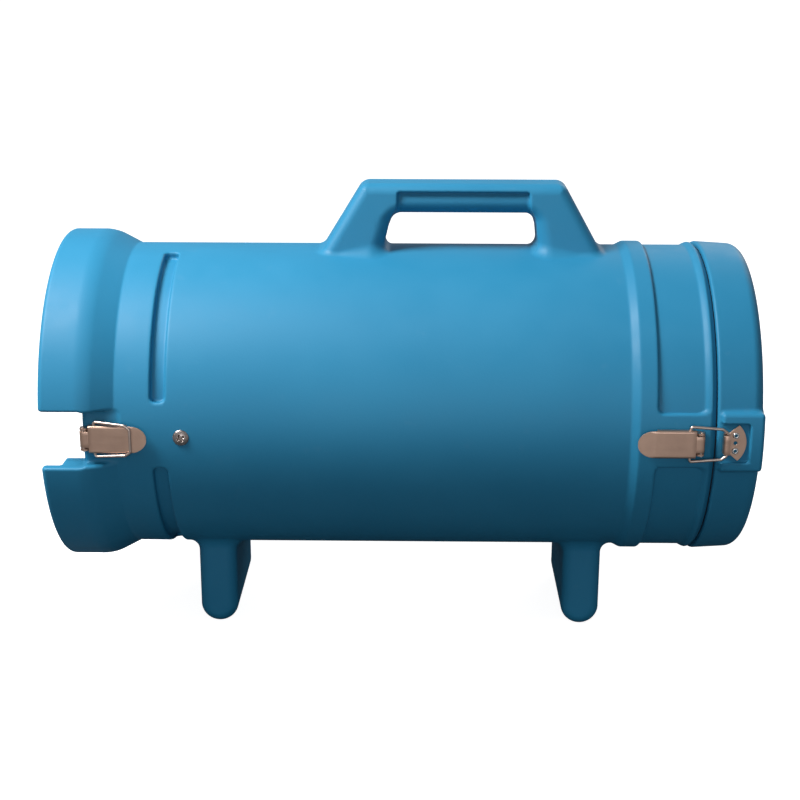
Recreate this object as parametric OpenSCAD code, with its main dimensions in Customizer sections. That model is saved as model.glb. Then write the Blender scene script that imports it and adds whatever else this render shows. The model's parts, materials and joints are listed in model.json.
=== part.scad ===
// Tube-bodied shop vacuum: a moulded barrel on two feet with a carrying handle, a flared
// coupling end, a latched end cap, a cartridge filter and a through-flow motor and fan.
// Frame: +X runs along the barrel from the flared end to the end cap, +Z is up, and the
// origin is on the floor under the middle of the object. Millimetres.

/* [Barrel] */
// Length of the whole object, flared rim to end cap
total_len = 590; // [586:1:600]
// Outer radius of the plain barrel
barrel_r = 134; // [133:0.5:135]
// Thickness of the moulded wall
wall = 6; // [5.5:0.1:6.4]
// Height of the barrel's axis above the floor
axis_h = 200; // [198:1:206]

/* [Flared end] */
// Outer radius of the flared rim
flare_r = 146; // [145.5:0.1:146.5]
// Length of the straight part of the flare
flare_len = 37; // [36:0.5:38]
// Radius of the coupling socket inside the rim
socket_r = 136.8; // [136:0.1:137.5]
// Depth of the coupling socket
socket_depth = 14.6; // [13:0.1:16]
// Height of each latch notch in the rim
notch_h = 45; // [42:0.5:47]
// Length of each latch notch, from the rim
notch_len = 33.5; // [33:0.5:35]

/* [Handle] */
// Height of the grip's top above the barrel's axis
handle_top = 191; // [188:1:194]
// Width of the handle at its top
handle_w = 40; // [38:0.5:42]
// Width of the handle where it meets the barrel
handle_base_w = 55; // [52:1:58]

/* [Feet] */
// Thickness of a foot plate along the barrel
foot_t = 33.5; // [31:0.5:35]
// Length of a foot plate across the barrel
foot_w = 122; // [116:1:126]

/* [End cap] */
// Outer radius of the end cap at its joint
cap_r = 137.4; // [137:0.1:137.8]
// Bore radius of the hose inlet
hose_r = 25.2; // [24:0.1:26]
// Length of the hose inlet's straight bore
hose_len = 34; // [30:1:38]

/* [Latches] */
// Width of a latch lever
lever_w = 23.6; // [23:0.1:24.2]
// Distance from the bail's pivot to its crossbar
bail_len = 30; // [29.5:0.1:30.5]
// Radius of the bail wire
wire_r = 1.25; // [1.1:0.05:1.3]

/* [Filter] */
// Number of pleats in the cartridge
pleats = 48; // [30:1:60]
// Outer radius of the cartridge
filter_r = 88; // [84:1:90]

/* [Fan] */
// Outer radius of the impeller
fan_r = 68; // [64:1:70]
// Number of impeller blades
blades = 9; // [7:1:11]

/* [Hidden] */
$fn = 96;
SLACK = 0.4;                 // gap between two pieces that slip into each other
OVER = 1;                    // how far a cutter reaches past the face it cuts
SIDES = [-1, 1];             // near side, far side
BLUE = [0.13, 0.45, 0.62];
STEEL = [0.72, 0.70, 0.67];

// Stations along the axis, measured from the flared rim
cone_end = flare_len + 23;
lip_d = 52;                  // inner lip that carries the guard
lip_r = 111;
guard_d = lip_d - 2.8;       // plane of the guard's spokes
guard_screw_r = 114.9;       // radius of the circle of guard screws
port_screw_r = 38;           // radius of the circle of port screws
port_r = 46;                 // radius of the port's flange
port_hole_r = 30.2;          // radius of the cap's hole for the port
collar_r = 120;
slot_d = 89.5;
slot_w = 12;
slot_depth = 6.5;
rib_d = 84;
rib_end = 107;
rib_r = barrel_r - slot_depth - wall;
inner_r = barrel_r - wall;
screw_d = 114.3;
shelf_d = 279;               // inner shelf that the bulkhead is screwed to
shelf_end = 285;
shelf_r = 119;
shelf_screw_r = 123.4;       // radius of the circle of bulkhead screws
ring1_d = 489.2;
ring1_end = 503.2;
ring1_r = barrel_r + 3.3;
panel_r = barrel_r - 0.2;
ring2_d = 543;
mouth_d = total_len - 39;
ring2_r = barrel_r + 2.9;
cap_d = mouth_d + 0.8;
cap_end_r = cap_r - 2.3;
foot_at = [130, 455.3];      // stations of the feet
handle_d = [223, 259.5, 433, 467];   // base, top, top and base of the handle's outline
hole_d = [276.7, 286.2, 406.4, 411.4];       // the same corners of the hand hole
hole_top = 164.5;
grip_d = [289.5, 403.5];      // shallow grip recess on each face of the handle
grip_y = 15.5;
left_hinge_d = 35.4;
right_hinge_d = mouth_d - 12.7;
left_seat = barrel_r + 0.1;
right_seat = ring1_r + 0.1;
keeper_d = right_hinge_d + bail_len - 9.2;

// Latch heights above its seat
base_t = 1.5;
pin_r = 1.2;
pin_h = 4.5;
bail_u = 9.2;                // bail pivot, from the hinge pin towards the tab
bail_n = 0.6;                // bail pivot, outward from the hinge pin
ear_y = 9.6;
rivet_u = [12, 20];          // latch rivets, from the hinge pin
rivet_r = 1.6;
rivet_hole_r = rivet_r + 0.1;
keeper_rivet_u = 7.3;
keeper_rivet_y = 6.6;
sheet = 1.2;
fold = 8.5;                  // how far a folded bail stands off its lever, degrees

// Switch and power inlet on the far side
panel_d = [172, 288];
panel_z = 29;
panel_y = barrel_r + 0.8;
plate_t = 2;
rocker_d = 210;
inlet_d = 252;
rocker_tilt = 10;
plate_screw_d = [panel_d[0] + 9, panel_d[1] - 9];
plate_screw_z = [-21, 21];

// Motor, fan and filter
can_r = 55;                  // outer radius of the motor can
can_d = [108, 210];
shaft_r = 5;
bearing_r = 15;
fan_d = 244;                 // back plate of the impeller
fan_end = 273;
cradle_end = rib_end + 30;
cradle_in_r = can_r + 3.4;
filter_d = shelf_end + 13;   // first station of the pleats
filter_end = 474;
cage_r = 56;
stud_r = 4;
thread_gap = 0.08;           // gap between a stud and the thread around it

function unit(v) = v / norm(v);
// The arc that rounds corner b, between a and c, to radius b[2]
function corner(a, b, c, n) = b[2] == 0 ? [[b[0], b[1]]] :
  let (p = [b[0], b[1]], u = unit([a[0], a[1]] - p), v = unit([c[0], c[1]] - p),
       half = acos(u * v) / 2, o = p + unit(u + v) * b[2] / sin(half),
       s = p + u * b[2] / tan(half) - o, e = p + v * b[2] / tan(half) - o,
       a0 = atan2(s[1], s[0]), da = (atan2(e[1], e[0]) - a0 + 540) % 360 - 180)
  [for (i = [0:n]) o + b[2] * [cos(a0 + da * i / n), sin(a0 + da * i / n)]];
// An outline whose points are [x, y, corner radius]
function rounded(pts, n = 5) = [for (i = [0:len(pts) - 1])
  each corner(pts[(i + len(pts) - 1) % len(pts)], pts[i], pts[(i + 1) % len(pts)], n)];

// Places children so that their X is the station along the axis and Y = Z = 0 is the axis
module tube() { translate([-total_len / 2, 0, axis_h]) children(); }
// Turns children drawn along Z about the barrel's axis
module axial() { tube() rotate([0, 90, 0]) children(); }
// A solid of revolution from points [station, radius, corner radius]
module turned(pts, n = 5) {
  axial() rotate_extrude() polygon([for (p = rounded(pts, n)) [p[1], p[0]]]);
}
module disc(d0, d1, r) { axial() translate([0, 0, d0]) cylinder(h = d1 - d0, r = r); }
module ring(d0, d1, r0, r1) {
  axial() translate([0, 0, d0]) difference() {
    cylinder(h = d1 - d0, r = r1);
    translate([0, 0, -OVER]) cylinder(h = d1 - d0 + 2 * OVER, r = r0);
  }
}
module block(low, high) { tube() translate(low) cube(high - low); }
// Copies children count times about the axis
module around(count, first = 0) {
  for (i = [0:count - 1]) tube() rotate([first + 360 * i / count, 0, 0]) children();
}
// A screw or rivet along -Z under its head
module fastener(head_r, head_h, shank_r, length) {
  cylinder(h = head_h, r = head_r);
  translate([0, 0, -length]) cylinder(h = length + head_h / 2, r = shank_r);
}

// ---- Barrel ----
module arc_slot(side, from, to) {
  mirror([0, side > 0 ? 1 : 0, 0]) axial() rotate([0, 0, -90 - to]) rotate_extrude(angle = to - from)
    translate([barrel_r - slot_depth, slot_d]) square([slot_depth + 5, slot_w]);
}
module outer_form() {
  turned([[0, 0, 0], [0, flare_r, 4], [flare_len - 1, flare_r, 9], [cone_end, barrel_r, 7],
    [ring1_d - 6.6, barrel_r, 1.5], [ring1_d, ring1_r, 1.5], [ring1_end - 1.5, ring1_r, 1.5],
    [ring1_end + 1.5, panel_r, 1], [ring2_d - 2, panel_r, 1], [ring2_d + 1.5, ring2_r, 1],
    [mouth_d, ring2_r, 1.2], [mouth_d, 0, 0]]);
}
module inner_form() {
  turned([[-OVER, 0, 0], [-OVER, socket_r, 0], [socket_depth, socket_r, 0],
    [socket_depth, collar_r, 0], [lip_d, collar_r, 0], [lip_d, lip_r, 0], [lip_d + 8, lip_r, 0],
    [lip_d + 8, inner_r, 0], [rib_d, inner_r, 0], [rib_d, rib_r, 0], [rib_end, rib_r, 0],
    [rib_end, inner_r, 0], [shelf_d, inner_r, 0], [shelf_d, shelf_r, 0], [shelf_end, shelf_r, 0],
    [shelf_end, inner_r, 0], [mouth_d + OVER, inner_r, 0], [mouth_d + OVER, 0, 0]]);
}
module handle_form() {
  tube() intersection() {
    translate([0, handle_base_w, 0]) rotate([90, 0, 0]) linear_extrude(2 * handle_base_w)
      polygon(rounded([[handle_d[0] - 7, 120, 0], [handle_d[0], 131, 6], [handle_d[1], handle_top, 8],
        [handle_d[2], handle_top, 8], [handle_d[3], 131, 6], [handle_d[3] + 7, 120, 0]]));
    rotate([90, 0, 90]) linear_extrude(total_len) polygon(rounded([
      [-handle_base_w / 2, 118, 0], [-handle_base_w / 2, 136, 6], [-handle_w / 2, handle_top - 9, 8],
      [-handle_w / 2 + 1, handle_top, 4], [handle_w / 2 - 1, handle_top, 4],
      [handle_w / 2, handle_top - 9, 8], [handle_base_w / 2, 136, 6], [handle_base_w / 2, 118, 0]]));
  }
}
module hand_hole() {
  tube() translate([0, handle_base_w, 0]) rotate([90, 0, 0]) linear_extrude(2 * handle_base_w)
    polygon(rounded([[hole_d[0], barrel_r + 0.7, 8], [hole_d[1], hole_top, 8],
      [hole_d[2], hole_top, 8], [hole_d[3], barrel_r + 0.7, 8]]));
}
module grip_recesses() {
  for (side = SIDES) mirror([0, side > 0 ? 1 : 0, 0]) tube() translate([0, -grip_y, 0])
    rotate([90, 0, 0]) linear_extrude(20)
      polygon(rounded([[grip_d[0], 160, 0], [grip_d[0], handle_top - 6, 3],
        [grip_d[1], handle_top - 6, 3], [grip_d[1], 160, 0]]));
}
module foot_form(d) {
  tip = foot_t / 2;
  tube() translate([d, 0, 0]) intersection() {
    union() {
      translate([-tip, -foot_w / 2, -axis_h + tip - 0.8]) cube([foot_t, foot_w, 100]);
      translate([0, 0, -axis_h + tip - 0.8]) rotate([90, 0, 0])
        cylinder(h = foot_w, r = tip, center = true);
    }
    translate([-foot_t, -foot_w, -axis_h]) cube([2 * foot_t, 2 * foot_w, 120]);
  }
}
module latch_notch(side) {
  mirror([0, side > 0 ? 1 : 0, 0]) {
    block([-OVER, -flare_r - 5, -notch_h / 2], [notch_len, -lip_r, notch_h / 2]);
    difference() {
      block([notch_len - OVER, -flare_r - 5, -notch_h / 2], [cone_end, -lip_r, notch_h / 2]);
      disc(0, 100, barrel_r);
    }
  }
}
module shelf_screw_holes() {
  around(6, 30) translate([shelf_d - OVER, 0, shelf_screw_r]) rotate([0, 90, 0]) cylinder(h = 30, r = 2.1);
}
module latch_land() {
  intersection() {
    ring(ring1_end - 4, mouth_d - 1.5, inner_r + 1, ring1_r - 0.05);
    block([ring1_end - 6, -200, -23], [mouth_d, 200, 23]);
  }
}
module barrel_shell() color(BLUE) difference() {
  union() {
    outer_form();
    latch_land();
    handle_form();
    for (d = foot_at) foot_form(d);
    block([panel_d[0], 100, -panel_z], [panel_d[1], panel_y, panel_z]);
  }
  inner_form();
  hand_hole();
  grip_recesses();
  for (side = SIDES) {
    latch_notch(side);
    arc_slot(side, 12.5, side < 0 ? 80 : 64);
    arc_slot(side, -80, -12);
  }
  // Holes for the cradle screws, latch rivets, guard, bulkhead and switch plate screws
  tube() translate([screw_d, 0, 0]) rotate([90, 0, 0]) cylinder(h = 400, r = 2.65, center = true);
  for (u = rivet_u, d = [left_hinge_d + u, right_hinge_d - u])
    tube() translate([d, 0, 0]) rotate([90, 0, 0]) cylinder(h = 400, r = rivet_hole_r, center = true);
  around(4, 45) translate([lip_d - OVER, 0, guard_screw_r]) rotate([0, 90, 0]) cylinder(h = 12, r = 2.1);
  shelf_screw_holes();
  plate_windows();
  plate_screw_holes();
}

// ---- Latches. Local axes: X towards the lever's tab, Y across it, Z outward ----
module latch_at(side, left) {
  seat = left ? left_seat : right_seat;
  tube() translate([left ? left_hinge_d : right_hinge_d, side * seat, 0])
    rotate([side < 0 ? 90 : -90, 0, 0]) rotate([0, 0, left ? 0 : 180]) children();
}
module cross_pin(u, n, length, r) {
  translate([u, length / 2, n]) rotate([90, 0, 0]) cylinder(h = length, r = r);
}
module latch_base(side, left) color(STEEL) latch_at(side, left) difference() {
  union() {
    linear_extrude(base_t) polygon(rounded([[-2.6, -ear_y, 0.8], [24, -ear_y, 4], [24, ear_y, 4],
      [-2.6, ear_y, 0.8]]));
    for (s = SIDES) translate([0, s * (ear_y - 0.75) + 0.75, 0]) rotate([90, 0, 0])
      linear_extrude(1.5) polygon(rounded([[-2.6, 0.2, 0], [-2.6, pin_h + 2.6, 2.5],
        [2.6, pin_h + 2.6, 2.5], [8, base_t, 0], [8, 0.2, 0]]));
  }
  cross_pin(0, pin_h, 40, pin_r + 0.02);
  for (u = rivet_u) translate([u, 0, -OVER]) cylinder(h = 5, r = rivet_hole_r);
}
module tab_outline() {
  half = lever_w / 2;
  polygon(concat([[-0.5, half - 0.4], [-0.5, -half + 0.4]],
    [for (a = [-90:10:90]) [1.5 + 12 * cos(a), (half - 0.4) * sin(a)]]));
}
module latch_lever(side, left) color(STEEL) latch_at(side, left) translate([0, 0, pin_h])
  difference() {
    union() {
      translate([0, -7.4, 1.6]) cube([6, 14.8, sheet]);
      cross_pin(0, 0, 14.8, 2.7);
      translate([4, -lever_w / 2, 1.6]) cube([34.2, lever_w, sheet]);
      for (s = SIDES) translate([4, s * (lever_w / 2 - sheet / 2) - sheet / 2, -1.4])
        cube([32, sheet, 3.6]);
      translate([38, 0, 1.6]) rotate([0, -4, 0]) linear_extrude(sheet) tab_outline();
    }
    cross_pin(0, 0, 40, pin_r + 0.06);
    cross_pin(bail_u, bail_n, 40, wire_r + 0.07);
  }
// A bent wire: straight lengths with round corners
module wire(pts, r) {
  for (i = [0:len(pts) - 2]) hull() for (p = [pts[i], pts[i + 1]]) translate(p) sphere(r = r, $fn = 16);
}
module latch_bail(side, left) color(STEEL) latch_at(side, left)
  translate([bail_u, 0, pin_h + bail_n]) rotate([0, left ? -fold : 180, 0]) {
    wire([[0, 14.9, 0], [25.5, 12.9, 0], [bail_len, 9.8, 0], [bail_len, -9.8, 0],
      [25.5, -12.9, 0], [0, -14.9, 0]], wire_r);
    for (s = SIDES) bail_end(s);
  }
module bail_end(s) {
  translate([0, s * 12.4, 0]) rotate([90, 0, 0]) cylinder(h = 4.8, r = wire_r, center = true);
}
module latch_hinge_pins() color([0.8, 0.8, 0.78]) for (side = SIDES, left = [true, false])
  latch_at(side, left) cross_pin(0, pin_h, 2 * ear_y + 2, pin_r);
module latch_rivets() color([0.85, 0.85, 0.84]) for (side = SIDES, left = [true, false], u = rivet_u)
  latch_at(side, left) translate([u, 0, base_t]) fastener(2.5, 1, rivet_r, left ? 12 : 9);

// ---- End cap ----
module keeper_at(side) {
  tube() translate([keeper_d, side * right_seat, 0]) rotate([side < 0 ? 90 : -90, 0, 0]) children();
}
module keeper_boss(side) {
  mirror([0, side > 0 ? 1 : 0, 0]) difference() {
    intersection() {
      block([cap_d + 3, -200, -25], [total_len - 3, -cap_end_r + 8, 25]);
      ring(cap_d, total_len, 100, 142);
    }
    block([0, -200, -16.5], [keeper_d + 18.5, -right_seat, 16.5]);
  }
}
module end_cap() color(BLUE) difference() {
  union() {
    turned([[540, inner_r - wall - 0.6, 0], [540, inner_r - 0.6, 1], [cap_d, inner_r - 0.6, 0],
      [cap_d, inner_r + 1.6, 0], [cap_d + 3.2, inner_r + 1.6, 0], [cap_d + 3.2, inner_r + 4.6, 0],
      [cap_d, inner_r + 4.6, 0], [cap_d, cap_r, 1.6], [total_len - 10, cap_end_r + 0.5, 6],
      [total_len, cap_end_r - 9, 5], [total_len, 100, 3], [total_len - 4, 96, 3],
      [total_len - 4, 0, 0], [total_len - 10, 0, 0], [total_len - 10, inner_r - wall - 0.6, 0]]);
    for (side = SIDES) keeper_boss(side);
    disc(total_len - 20, total_len - 6, port_r);
  }
  disc(total_len - 30, total_len + OVER, port_hole_r);
  for (side = SIDES, y = SIDES) keeper_at(side) translate([keeper_rivet_u, keeper_rivet_y * y, -30])
    cylinder(h = 40, r = rivet_hole_r);
  around(4, 45) translate([total_len - 18, 0, port_screw_r]) rotate([0, 90, 0]) cylinder(h = 20, r = 1.9);
}
module cap_gasket() color([0.12, 0.12, 0.13])
  ring(mouth_d + 0.1, cap_d + 3, inner_r + 1.8, inner_r + 4.4);
module keeper(side) color(STEEL) keeper_at(side) difference() {
  arc_c = -4.8;
  union() {
    translate([0, 0, 0.1]) linear_extrude(sheet) polygon(concat([[2, -9], [9.5, -15.2]],
      [for (a = [-45:9:45]) [arc_c + 21.1 * cos(a), 21.1 * sin(a)]], [[9.5, 15.2], [2, 9]]));
    translate([-3.2, -8.2, 0.1]) cube([6, 16.4, sheet]);
    translate([-3.2, -8.2, 0.1]) cube([1, 16.4, 8.2]);
    translate([-3.2, -8.2, 7.35]) cube([5.4, 16.4, 1]);
  }
  for (y = SIDES) translate([keeper_rivet_u, keeper_rivet_y * y, -OVER])
    cylinder(h = 5, r = rivet_hole_r);
  translate([keeper_rivet_u, 0, -OVER]) cylinder(h = 5, r = 1.6);
}
module keeper_rivets() color([0.85, 0.85, 0.84]) for (side = SIDES, y = SIDES)
  keeper_at(side) translate([keeper_rivet_u, keeper_rivet_y * y, 0.1 + sheet])
    fastener(2.6, 1, rivet_r, 8);
module hose_port() color([0.1, 0.1, 0.11]) difference() {
  union() {
    disc(total_len - hose_len - 6, total_len - 0.6, hose_r + 4.4);
    disc(total_len - 3.9, total_len - 0.6, port_r);
  }
  disc(total_len - hose_len - 0.6, total_len + OVER, hose_r);
  disc(total_len - hose_len - 10, total_len, hose_r - 2.2);
  around(4, 45) translate([total_len - 12, 0, port_screw_r]) rotate([0, 90, 0]) {
    cylinder(h = 20, r = 1.9);
    translate([0, 0, 10.3]) cylinder(h = 5, r = 3.8);
  }
}
module hose_port_screws() color(STEEL) around(4, 45)
  translate([total_len - 1.6, 0, port_screw_r]) rotate([0, 90, 0]) fastener(3.4, 1.4, 1.8, 14);
module inlet_deflector() color([0.16, 0.16, 0.17]) {
  disc(522, 524.5, 38);
  for (i = [0:2]) tube() rotate([120 * i, 0, 0])
    translate([523, -5, hose_r + 0.8]) cube([total_len - hose_len - 6 - 523, 10, 3]);
}

// ---- Motor and fan ----
module cradle_screws() color(STEEL) for (side = SIDES) tube() translate([screw_d, side * barrel_r, 0])
  rotate([side < 0 ? 90 : -90, 0, 0]) difference() {
    union() {
      translate([0, 0, 0.1]) cylinder(h = 1.2, r = 7);
      translate([0, 0, 1.3]) cylinder(h = 1.4, r1 = 7, r2 = 4.8);
      translate([0, 0, -20]) cylinder(h = 21, r = 2.5);
    }
    for (a = [0, 90]) rotate([0, 0, a]) translate([-3, -0.7, 1]) cube([6, 1.4, 3]);
  }
module motor_cradle() color([0.2, 0.2, 0.22]) difference() {
  union() {
    ring(rib_end + 0.2, cradle_end, 121, inner_r - SLACK);
    ring(rib_end + 0.2, cradle_end, cradle_in_r, cradle_in_r + 4.6);
    around(4, 45) translate([rib_end + 0.2, -3, 60]) cube([29.8, 6, 62]);
    for (side = SIDES) intersection() {
      block([screw_d - 7, side < 0 ? -inner_r : 110, -12], [screw_d + 13, side < 0 ? -110 : inner_r, 12]);
      disc(0, total_len, inner_r - SLACK);
    }
  }
  tube() translate([screw_d, 0, 0]) rotate([90, 0, 0]) for (s = SIDES)
    translate([0, 0, s * 118 - 14]) cylinder(h = 28, r = 2.55);
}
module cradle_bush() color([0.1, 0.1, 0.1])
  ring(rib_end + 3, cradle_end - 2, can_r + 0.1, cradle_in_r - 0.1);
module motor_can() color([0.5, 0.52, 0.54]) difference() {
  ring(can_d[0], can_d[1], can_r - 2.5, can_r);
  around(6) translate([198, -9, 40]) cube([8, 18, 30]);
}
module bell(d, hub_d, hub_len, hub_r) {
  difference() {
    union() {
      disc(d, d + 6, can_r);
      disc(hub_d, hub_d + hub_len, hub_r);
    }
    disc(0, total_len, 6.2);
    around(6, 30) translate([d - OVER, 0, 37]) rotate([0, 90, 0]) cylinder(h = 8, r = 8);
  }
}
module rear_bell() color([0.6, 0.6, 0.62]) difference() {
  bell(can_d[0] - 6, 99, 14, 19);
  disc(103, 120, bearing_r + 0.02);
}
module front_bell() color([0.6, 0.6, 0.62]) difference() {
  bell(can_d[1], 208, 14, 21);
  disc(200, 218, bearing_r + 0.02);
}
module bearing(d) color([0.75, 0.75, 0.76]) ring(d, d + 9, shaft_r + 0.04, bearing_r);
module stator() color([0.35, 0.35, 0.37]) difference() {
  ring(142, 190, 30.5, 52.3);
  for (s = SIDES) block([140, min(29.5 * s, 45 * s), -24], [192, max(29.5 * s, 45 * s), 24]);
}
module field_coils() color([0.72, 0.4, 0.2]) for (d = [131, 190.5])
  turned([[d, 34, 3], [d, 50, 3], [d + 11, 50, 3], [d + 11, 34, 3]]);
module brush_holders() color([0.7, 0.58, 0.3]) for (side = SIDES) difference() {
  block([118, min(side * 17, side * 49), -5.5], [128, max(side * 17, side * 49), 5.5]);
  block([119.4, min(side * 10, side * 45), -4.1], [126.6, max(side * 10, side * 45), 4.1]);
}
module carbon_brushes() color([0.12, 0.12, 0.12]) for (side = SIDES)
  block([119.6, min(side * 15.6, side * 33), -3.9], [126.4, max(side * 15.6, side * 33), 3.9]);
module motor_shaft() color([0.8, 0.8, 0.82]) disc(101, 283, shaft_r);
module armature() color([0.4, 0.38, 0.36]) difference() {
  union() {
    disc(144, 188, 29.6);
    disc(133, 199, 22);
  }
  disc(100, 300, shaft_r);
  around(12) translate([143, -1.5, 23]) cube([46, 3, 10]);
}
module commutator() color([0.78, 0.48, 0.25]) difference() {
  disc(117, 130, 15);
  disc(100, 300, shaft_r);
  around(16, 5) translate([116, -0.4, 13.6]) cube([15, 0.8, 3]);
}
module diffuser() color([0.6, 0.6, 0.62]) {
  difference() {
    union() {
      disc(236, 238.5, 62);
      disc(216, 237, 30);
    }
    disc(200, 300, 23);
  }
  around(8) translate([226, -1, 29]) cube([10.5, 2, 32]);
}
// One backward-curved blade, from the hub to the rim, as a strip about a spiral
function blade_side(t, turn) = [for (i = [0:8]) let (r = 24 + (fan_r - 25) * i / 8, a = -45 * i / 8)
  r * [cos(a), sin(a)] + t * [-sin(a + turn), cos(a + turn)]];
module impeller() color([0.66, 0.67, 0.69]) {
  difference() {
    union() {
      disc(fan_d, fan_d + 2.5, fan_r);
      disc(fan_d, fan_end, 10);
    }
    disc(200, 300, shaft_r);
  }
  ring(264, 266, 30, fan_r);
  ring(264, 272, 28, 30);
  for (k = [0:blades - 1]) axial() rotate([0, 0, 360 * k / blades]) translate([0, 0, fan_d + 2])
    linear_extrude(18.5) polygon(concat(blade_side(0.8, -35),
      [for (i = [8:-1:0]) blade_side(-0.8, -35)[i]]));
}
module impeller_nut() color(STEEL) axial() translate([0, 0, fan_end]) difference() {
  cylinder(h = 7, r = 9.2, $fn = 6);
  translate([0, 0, -OVER]) cylinder(h = 10, r = shaft_r);
}
module fan_housing() color([0.62, 0.63, 0.65]) difference() {
  disc(232, shelf_d - 0.2, 76);
  disc(230, shelf_d - 2.2, 74);
  disc(230, 300, 32);
}

// ---- Bulkhead and filter ----
module bulkhead() color([0.18, 0.18, 0.2]) difference() {
  union() {
    disc(shelf_end + 2, shelf_end + 7, inner_r - SLACK);
    disc(shelf_d, shelf_end + 7, 38);
  }
  disc(200, 400, 34);
  shelf_screw_holes();
}
module bulkhead_gasket() color([0.1, 0.1, 0.1]) difference() {
  ring(shelf_end, shelf_end + 2, shelf_r + 0.5, inner_r - SLACK);
  shelf_screw_holes();
}
module bulkhead_screws() color(STEEL) around(6, 30) translate([shelf_end + 7, 0, shelf_screw_r])
  rotate([0, 90, 0]) fastener(3.8, 2.2, 2, 12);
module filter_cage() color([0.15, 0.15, 0.17]) {
  ring(shelf_end + 7, shelf_end + 11, 42, cage_r);
  difference() {
    ring(468, 472, stud_r + 0.2, cage_r);
    around(6, 30) translate([467, 0, 32]) rotate([0, 90, 0]) cylinder(h = 6, r = 11);
  }
  around(6) translate([shelf_end + 10.5, -4, 50]) cube([468.5 - shelf_end - 10.5, 8, 5]);
}
module filter_stud() color(STEEL) {
  disc(462, 468, 8);
  disc(467.5, 502, stud_r);
}
module filter_seal() color([0.1, 0.1, 0.11]) ring(shelf_end + 7.1, filter_d, 57, filter_r + 2);
module filter_media() color([0.93, 0.92, 0.88]) axial() translate([0, 0, filter_d])
  linear_extrude(filter_end - filter_d) difference() {
    polygon([for (i = [0:2 * pleats - 1])
      (filter_r - (i % 2) * 10) * [cos(180 * i / pleats), sin(180 * i / pleats)]]);
    polygon([for (i = [0:2 * pleats - 1])
      (filter_r - 13 - (i % 2) * 10) * [cos(180 * i / pleats), sin(180 * i / pleats)]]);
  }
module filter_end_cap() color([0.1, 0.1, 0.11]) difference() {
  turned([[filter_end, 0, 0], [filter_end, filter_r + 2, 1.5], [filter_end + 5, filter_r + 2, 3],
    [filter_end + 5, 0, 0]]);
  disc(470, 500, stud_r + SLACK);
}
module filter_knob() color([0.7, 0.12, 0.1]) difference() {
  union() {
    disc(479.4, 497, 11);
    axial() translate([0, 0, 484]) linear_extrude(10) polygon(rounded([for (i = [0:9])
      let (r = i % 2 == 0 ? 26 : 17) [r * cos(36 * i), r * sin(36 * i), 4]], 3));
  }
  disc(470, 510, stud_r + thread_gap);
}

// ---- Exhaust end ----
module exhaust_foam() color([0.16, 0.16, 0.17]) disc(lip_d + 8.5, lip_d + 27, inner_r - 1);
module guard_grille() color([0.2, 0.2, 0.21]) difference() {
  union() {
    for (r = [22, 46, 70, 94]) guard_ring(lip_d - 5, r);
    guard_ring(guard_d, guard_screw_r);
    around(8) translate([guard_d, 0, 21]) cylinder(h = guard_screw_r - 21, r = 1.6);
    around(4, 45) translate([lip_d - 2.2, 0, guard_screw_r]) rotate([0, 90, 0]) cylinder(h = 2, r = 5);
  }
  around(4, 45) translate([lip_d - 2.2, 0, guard_screw_r]) {
    rotate([0, 90, 0]) cylinder(h = 5, r = 2.1);
    rotate([0, -90, 0]) cylinder(h = 5, r = 3.9);
  }
}
module guard_ring(d, r) {
  axial() translate([0, 0, d]) rotate_extrude() translate([r, 0]) circle(r = 1.5, $fn = 24);
}
module guard_screws() color(STEEL) around(4, 45) translate([lip_d - 2.2, 0, guard_screw_r])
  rotate([0, -90, 0]) fastener(3.6, 2, 2, 9);

// ---- Switch and power inlet ----
module plate_windows() {
  block([rocker_d - 15, 90, -14], [rocker_d + 15, 150, 14]);
  block([inlet_d - 14, 90, -12], [inlet_d + 14, 150, 12]);
}
module plate_screw_holes() {
  for (d = plate_screw_d, z = plate_screw_z)
    tube() translate([d, 110, z]) rotate([-90, 0, 0]) cylinder(h = 40, r = 1.7);
}
module switch_plate() color([0.12, 0.12, 0.13]) difference() {
  tube() translate([0, panel_y + plate_t, 0]) rotate([90, 0, 0]) linear_extrude(plate_t)
    polygon(rounded([[panel_d[0] + 3, -27, 5], [panel_d[1] - 3, -27, 5],
      [panel_d[1] - 3, 27, 5], [panel_d[0] + 3, 27, 5]]));
  plate_windows();
  plate_screw_holes();
}
module plate_screws() color(STEEL) for (d = plate_screw_d, z = plate_screw_z)
  tube() translate([d, panel_y + plate_t, z]) rotate([-90, 0, 0]) fastener(3.2, 1.8, 1.6, 9);
module switch_housing() color([0.09, 0.09, 0.1]) difference() {
  union() {
    block([rocker_d - 17.5, panel_y + plate_t, -16.5], [rocker_d + 17.5, panel_y + plate_t + 1.6, 16.5]);
    block([rocker_d - 14.8, 112, -13.8], [rocker_d + 14.8, panel_y + plate_t + 0.5, 13.8]);
  }
  block([rocker_d - 13.6, 122, -11], [rocker_d + 13.6, 150, 11]);
  tube() translate([rocker_d, panel_y + 1, 0]) cylinder(h = 25, r = 1.7, center = true);
}
module switch_rocker() color([0.75, 0.1, 0.08]) tube() translate([rocker_d, panel_y + 1, 0]) {
  rotate([0, 0, -rocker_tilt]) translate([-12, -7, -10.6]) cube([24, 11, 21.2]);
  cylinder(h = 24.4, r = 1.5, center = true);
}
module power_inlet() color([0.09, 0.09, 0.1]) difference() {
  union() {
    block([inlet_d - 17, panel_y + plate_t, -15], [inlet_d + 17, panel_y + plate_t + 2, 15]);
    block([inlet_d - 13.8, 112, -11.8], [inlet_d + 13.8, panel_y + plate_t + 0.5, 11.8]);
  }
  block([inlet_d - 11.8, 121, -8.3], [inlet_d + 11.8, 150, 8.3]);
}
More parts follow.
